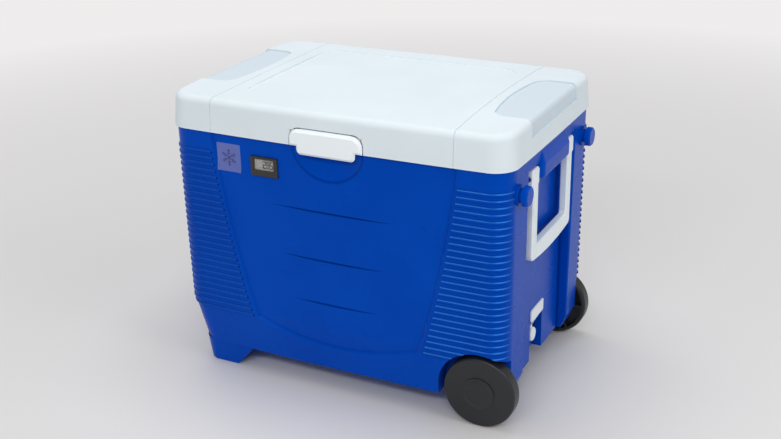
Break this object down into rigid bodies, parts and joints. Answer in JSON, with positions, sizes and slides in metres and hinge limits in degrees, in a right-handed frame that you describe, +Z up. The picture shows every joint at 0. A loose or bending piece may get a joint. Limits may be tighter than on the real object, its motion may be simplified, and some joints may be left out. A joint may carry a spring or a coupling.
{
  "type": "vaccine carrier",
  "caption": "Wheeled insulated cool box for vaccines, with a hinged lid, front latch, fold-down end handles, a drain plug and a display thermometer.",
  "frame": {"origin": "on the floor under the middle of the whole carrier's bounding box", "axes": "+X towards the end with the wheels, -Y towards the side with the latch and thermometer, +Z up"},
  "size_m": [0.615, 0.4176, 0.4898],
  "materials": {
    "tub_blue": "moulded polyethylene, fine grain",
    "lid_white": "moulded polyethylene, fine grain",
    "fitting_white": "moulded nylon, smooth",
    "liner_white": "smooth food-grade liner",
    "foam": "rigid polyurethane foam",
    "gasket_rubber": "soft rubber",
    "wheel_charcoal": "filled nylon, matt",
    "drain_dark": "moulded, matt",
    "steel": "stainless, brushed",
    "bezel_dark": "moulded, satin",
    "window_clear": "clear acrylic",
    "display_grey": "liquid-crystal module",
    "battery_steel": "bright steel can"
  },
  "bodies": {
    "carrier": {"outer_tub": "tub_blue", "insulation_core": "foam", "inner_liner": "liner_white", "latch_keeper": "fitting_white", "hinge_lower_leaf_right": "fitting_white", "hinge_lower_leaf_left": "fitting_white", "hinge_pin_right": "steel", "hinge_pin_left": "steel", "hinge_screws_tub": "steel", "handle_pins_right": "steel", "handle_pins_left": "steel", "strap_stud_rear": "tub_blue", "strap_stud_front": "tub_blue", "axle": "steel", "axle_clips": "steel", "axle_spacers": "fitting_white", "drain_spout": "drain_dark", "drain_nut": "drain_dark", "drain_seal": "gasket_rubber", "drain_tether": "fitting_white", "thermometer_case": "bezel_dark", "thermometer_bezel": "bezel_dark", "thermometer_window": "window_clear", "thermometer_display": "display_grey", "thermometer_battery": "battery_steel", "temperature_probe": "steel"},
    "lid": {"lid_shell": "lid_white", "lid_insulation": "foam", "lid_liner": "liner_white", "lid_gasket": "gasket_rubber", "latch_pin": "steel", "hinge_upper_leaf_right": "fitting_white", "hinge_upper_leaf_left": "fitting_white", "hinge_screws_lid": "steel"},
    "front_latch": {"latch": "fitting_white"},
    "right_handle": {"handle_right": "fitting_white"},
    "left_handle": {"handle_left": "fitting_white"},
    "front_wheel": {"wheel_front": "wheel_charcoal", "hub_cap_front": "wheel_charcoal"},
    "rear_wheel": {"wheel_rear": "wheel_charcoal", "hub_cap_rear": "wheel_charcoal"},
    "drain_plug": {"drain_cap": "fitting_white"}
  },
  "joints": [
    {"name": "lid_hinge", "type": "hinge", "parent": "carrier", "child": "lid", "pos_m": [-0.005, 0.2033, 0.4315], "axis": [-1, 0, 0], "range_deg": [0, 100]},
    {"name": "latch_pivot", "type": "hinge", "parent": "lid", "child": "front_latch", "pos_m": [-0.005, -0.2017, 0.455], "axis": [-1, 0, 0], "range_deg": [0, 60]},
    {"name": "handle_right_pivot", "type": "hinge", "parent": "carrier", "child": "right_handle", "pos_m": [0.2855, -0.0027, 0.391], "axis": [0, -1, 0], "range_deg": [0, 130]},
    {"name": "handle_left_pivot", "type": "hinge", "parent": "carrier", "child": "left_handle", "pos_m": [-0.2955, -0.0027, 0.391], "axis": [0, 1, 0], "range_deg": [0, 130]},
    {"name": "wheel_front_spin", "type": "hinge", "parent": "carrier", "child": "front_wheel", "pos_m": [0.2445, -0.1784, 0.06], "axis": [0, 1, 0], "continuous": true},
    {"name": "wheel_rear_spin", "type": "hinge", "parent": "carrier", "child": "rear_wheel", "pos_m": [0.2445, 0.173, 0.06], "axis": [0, 1, 0], "continuous": true},
    {"name": "drain_cap_pull", "type": "slide", "parent": "carrier", "child": "drain_plug", "axis": [1, 0, 0], "range_m": [0, 0.025]}
  ]
}
